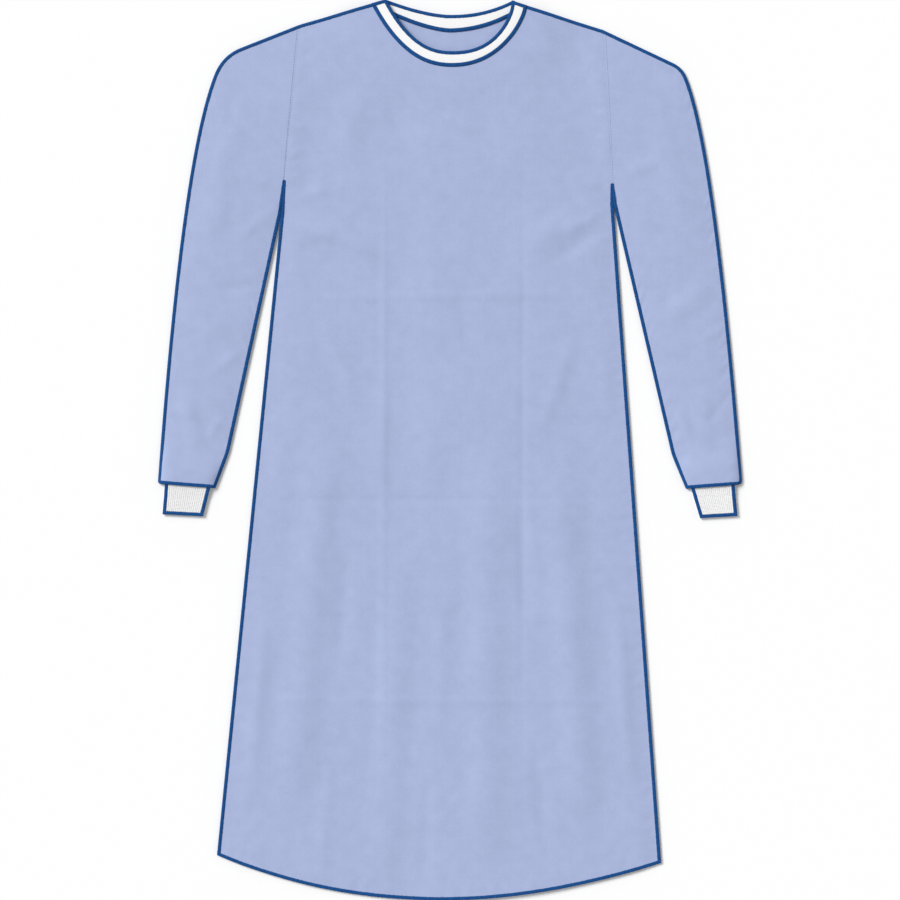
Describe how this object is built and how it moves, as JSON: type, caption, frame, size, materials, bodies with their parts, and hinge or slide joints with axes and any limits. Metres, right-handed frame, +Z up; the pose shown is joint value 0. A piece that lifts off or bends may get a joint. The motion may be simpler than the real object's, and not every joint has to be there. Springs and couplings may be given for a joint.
{
  "type": "surgical gown",
  "caption": "Long-sleeved surgical gown laid out flat, front up, with a bound round neck, rib-knit cuffs, a curved hem and an overlapped back opening.",
  "frame": {"origin": "on the surface that the gown lies on, under the middle of its outline", "axes": "+X across the gown to the picture's right, +Y from hem to neck, +Z up out of the front"},
  "size_m": [0.824, 1.27, 0.0085],
  "materials": {
    "gown_cloth": "matte bonded nonwoven, pale blue",
    "cuff_knit": "matte rib knit, white",
    "binding_tape": "matte woven tape, white",
    "seam_thread": "spun sewing thread, dark blue"
  },
  "bodies": {
    "root": {"front": "gown_cloth", "back_left": "gown_cloth", "back_right": "gown_cloth", "sleeve_left_front": "gown_cloth", "sleeve_left_back": "gown_cloth", "sleeve_right_front": "gown_cloth", "sleeve_right_back": "gown_cloth", "cuff_left": "cuff_knit", "cuff_right": "cuff_knit", "neck_binding_front": "binding_tape", "neck_binding_back_left": "binding_tape", "neck_binding_back_right": "binding_tape"}
  },
  "joints": []
}
